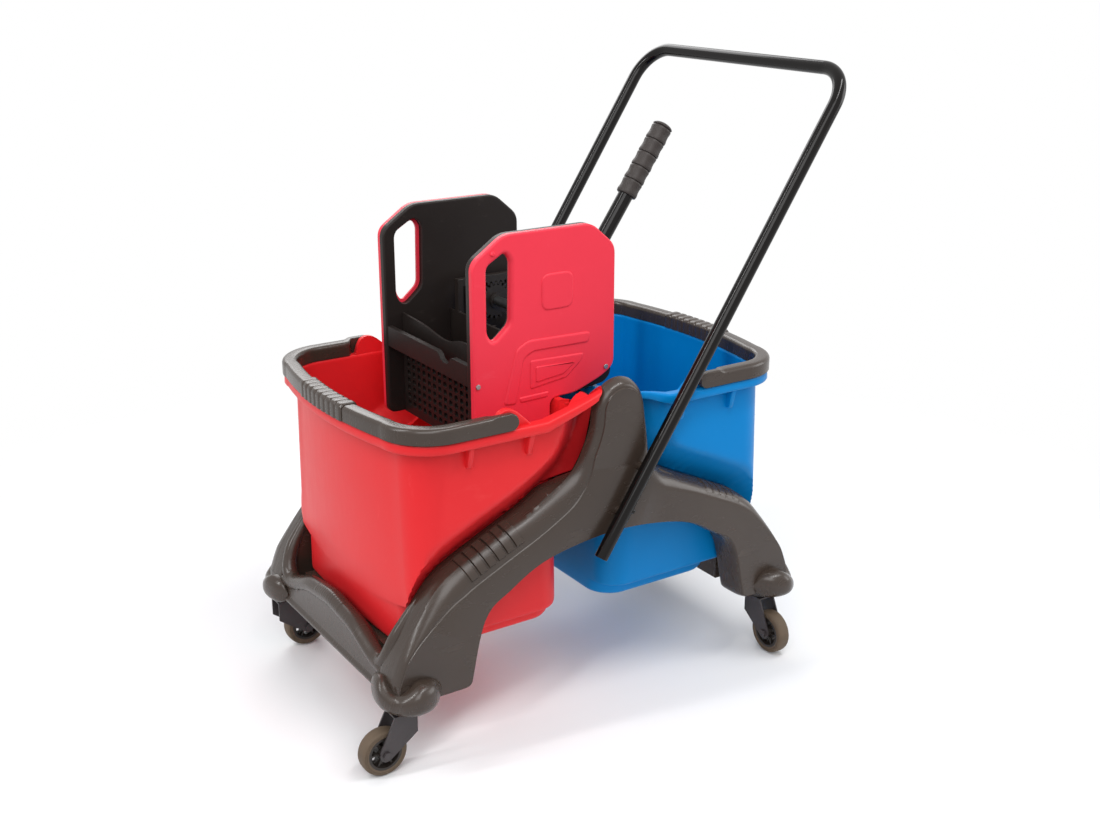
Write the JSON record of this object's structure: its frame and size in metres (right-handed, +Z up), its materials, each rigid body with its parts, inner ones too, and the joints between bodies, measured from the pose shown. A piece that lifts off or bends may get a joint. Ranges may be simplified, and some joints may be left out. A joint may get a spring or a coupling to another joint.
{
  "type": "double mop bucket trolley",
  "caption": "Moulded trolley on swivel castors that carries a red and a blue mop bucket side by side, with a lever wringer hung on the red one and a bent-tube push handle.",
  "frame": {"origin": "on the floor under the middle of the trolley's whole box", "axes": "+X along the trolley towards the blue bucket and the push handle, +Y across it to the left side, +Z up"},
  "size_m": [0.8878, 0.585, 1.0078],
  "materials": {
    "chassis_plastic": "moulded, satin",
    "bumper_plastic": "moulded, satin",
    "black_tube": "gloss powder coat",
    "black_steel": "black coated sheet steel",
    "plated_steel": "zinc plated",
    "hub_plastic": "moulded",
    "tyre_rubber": "grey-brown non-marking rubber",
    "red_bucket_plastic": "moulded polypropylene, satin",
    "blue_bucket_plastic": "moulded polypropylene, satin",
    "bail_plastic": "moulded, satin",
    "red_cover_plastic": "moulded, satin",
    "wringer_plastic": "moulded, satin",
    "gear_plastic": "moulded acetal",
    "grip_rubber": "moulded rubber"
  },
  "bodies": {
    "chassis": {"side_frame_right": "chassis_plastic", "side_frame_left": "chassis_plastic", "front_crossbeam": "chassis_plastic", "rear_crossbeam": "chassis_plastic", "centre_bridge": "chassis_plastic", "corner_bumpers": "bumper_plastic", "castor_sockets": "black_steel", "frame_bolts": "black_steel", "push_handle": "black_tube", "handle_spacers": "chassis_plastic", "handle_bolts": "plated_steel", "blue_bucket": "blue_bucket_plastic", "blue_bail_pins": "plated_steel"},
    "castor_front_right": {"castor_fork_front_right": "black_steel", "wheel_axle_front_right": "plated_steel"},
    "wheel_front_right": {"wheel_hub_front_right": "hub_plastic", "tyre_front_right": "tyre_rubber"},
    "castor_front_left": {"castor_fork_front_left": "black_steel", "wheel_axle_front_left": "plated_steel"},
    "wheel_front_left": {"wheel_hub_front_left": "hub_plastic", "tyre_front_left": "tyre_rubber"},
    "castor_rear_right": {"castor_fork_rear_right": "black_steel", "wheel_axle_rear_right": "plated_steel"},
    "wheel_rear_right": {"wheel_hub_rear_right": "hub_plastic", "tyre_rear_right": "tyre_rubber"},
    "castor_rear_left": {"castor_fork_rear_left": "black_steel", "wheel_axle_rear_left": "plated_steel"},
    "wheel_rear_left": {"wheel_hub_rear_left": "hub_plastic", "tyre_rear_left": "tyre_rubber"},
    "red_bucket": {"red_bucket": "red_bucket_plastic", "red_bail_pins": "plated_steel"},
    "red_bail": {"red_bail": "bail_plastic", "red_bail_grip": "bail_plastic"},
    "blue_bail": {"blue_bail": "bail_plastic", "blue_bail_grip": "bail_plastic"},
    "wringer": {"wringer_panel_right": "wringer_plastic", "wringer_panel_left": "wringer_plastic", "wringer_cover_right": "red_cover_plastic", "wringer_cover_left": "red_cover_plastic", "front_band": "wringer_plastic", "strainer_plate": "wringer_plastic", "drain_floor": "wringer_plastic", "rim_hook": "wringer_plastic", "rear_tie_bar": "wringer_plastic", "wringer_screws": "plated_steel", "axle_bushes": "plated_steel"},
    "lever": {"drive_axle": "plated_steel", "pinion_right": "gear_plastic", "pinion_left": "gear_plastic", "lever_socket": "black_steel", "lever_tube": "black_tube", "lever_grip": "grip_rubber"},
    "press": {"press_plate": "gear_plastic"}
  },
  "joints": [
    {"name": "castor_swivel_front_right", "type": "hinge", "parent": "chassis", "child": "castor_front_right", "pos_m": [-0.37243, -0.221, 0.097], "axis": [0, 0, 1], "continuous": true},
    {"name": "wheel_roll_front_right", "type": "hinge", "parent": "castor_front_right", "child": "wheel_front_right", "pos_m": [-0.40643, -0.221, 0.0375], "axis": [0, -1, 0], "continuous": true},
    {"name": "castor_swivel_front_left", "type": "hinge", "parent": "chassis", "child": "castor_front_left", "pos_m": [-0.37243, 0.221, 0.097], "axis": [0, 0, 1], "continuous": true},
    {"name": "wheel_roll_front_left", "type": "hinge", "parent": "castor_front_left", "child": "wheel_front_left", "pos_m": [-0.33843, 0.221, 0.0375], "axis": [0, 1, 0], "continuous": true},
    {"name": "castor_swivel_rear_right", "type": "hinge", "parent": "chassis", "child": "castor_rear_right", "pos_m": [0.33757, -0.221, 0.097], "axis": [0, 0, 1], "continuous": true},
    {"name": "wheel_roll_rear_right", "type": "hinge", "parent": "castor_rear_right", "child": "wheel_rear_right", "pos_m": [0.33757, -0.255, 0.0375], "axis": [1, 0, 0], "continuous": true},
    {"name": "castor_swivel_rear_left", "type": "hinge", "parent": "chassis", "child": "castor_rear_left", "pos_m": [0.33757, 0.221, 0.097], "axis": [0, 0, 1], "continuous": true},
    {"name": "wheel_roll_rear_left", "type": "hinge", "parent": "castor_rear_left", "child": "wheel_rear_left", "pos_m": [0.33757, 0.255, 0.0375], "axis": [-1, 0, 0], "continuous": true},
    {"name": "red_bucket_lift", "type": "slide", "parent": "chassis", "child": "red_bucket", "axis": [0, 0, 1], "range_m": [0, 0.45]},
    {"name": "wringer_lift", "type": "slide", "parent": "red_bucket", "child": "wringer", "axis": [0, 0, 1], "range_m": [0, 0.2]},
    {"name": "red_bail_swing", "type": "hinge", "parent": "red_bucket", "child": "red_bail", "pos_m": [-0.18943, 0, 0.5284], "axis": [0, 1, 0], "range_deg": [0, 65]},
    {"name": "blue_bail_swing", "type": "hinge", "parent": "chassis", "child": "blue_bail", "pos_m": [0.17657, 0, 0.5284], "axis": [0, -1, 0], "range_deg": [0, 100]},
    {"name": "lever_swing", "type": "hinge", "parent": "wringer", "child": "lever", "pos_m": [-0.00243, 0, 0.608], "axis": [0, -1, 0], "range_deg": [0, 95]},
    {"name": "press_slide", "type": "slide", "parent": "wringer", "child": "press", "axis": [-1, 0, 0], "range_m": [0, 0.0515]}
  ],
  "couplings": [
    {"joint": "press_slide", "follows": "lever_swing", "m_per_rad": 0.03}
  ]
}
